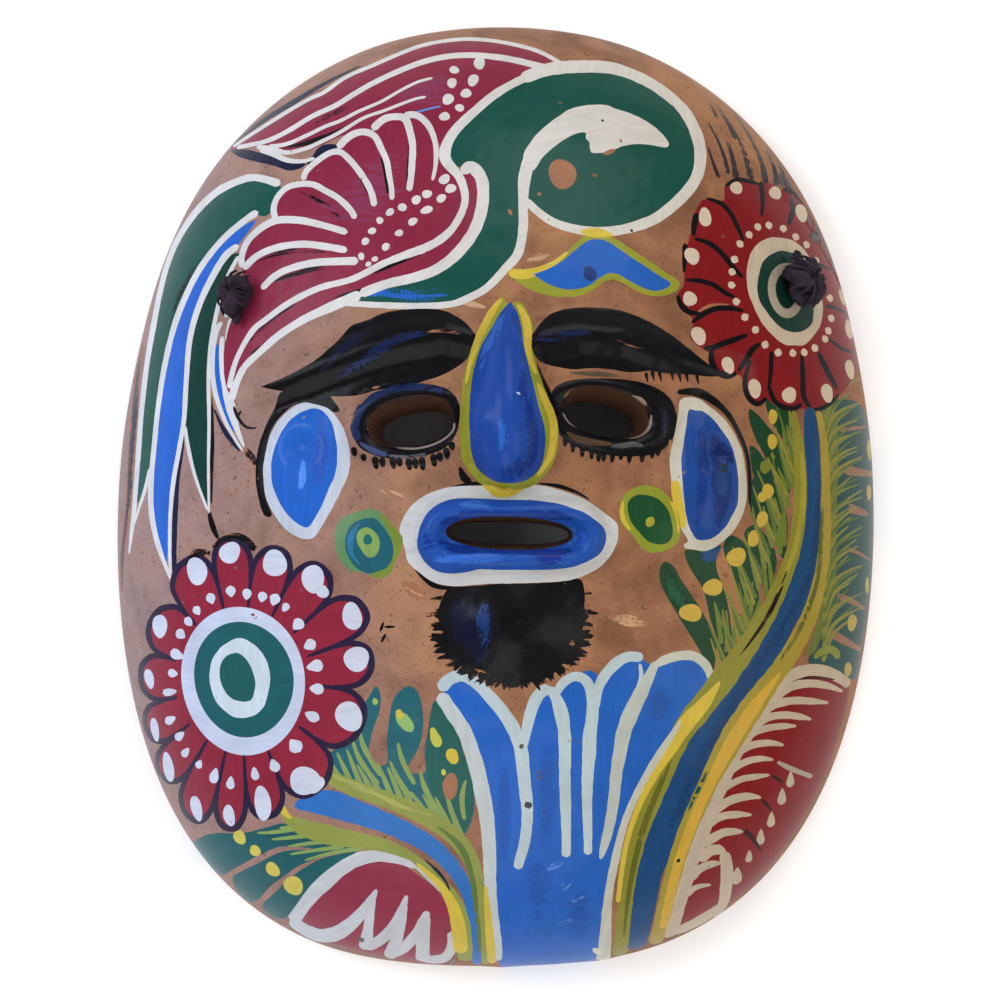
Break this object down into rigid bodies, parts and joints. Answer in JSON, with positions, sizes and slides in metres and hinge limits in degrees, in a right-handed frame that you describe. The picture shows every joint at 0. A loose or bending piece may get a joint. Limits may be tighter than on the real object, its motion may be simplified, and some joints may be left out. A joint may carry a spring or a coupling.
{
  "type": "terracotta mask",
  "caption": "Painted terracotta wall mask: a domed oval clay shell with pierced eyes and mouth, hung by a cord knotted through two holes.",
  "frame": {"origin": "middle of the oval rim, in the plane of its flat back", "axes": "+Z out of the face, +Y towards the brow, +X towards the viewer's right of the face"},
  "size_m": [0.1892, 0.2355, 0.0725],
  "materials": {
    "painted_terracotta": "varnished",
    "dark_cord": "waxed"
  },
  "bodies": {
    "root": {"mask": "painted_terracotta", "cord_knot_left": "dark_cord", "cord_knot_right": "dark_cord", "hanging_cord": "dark_cord"}
  },
  "joints": []
}
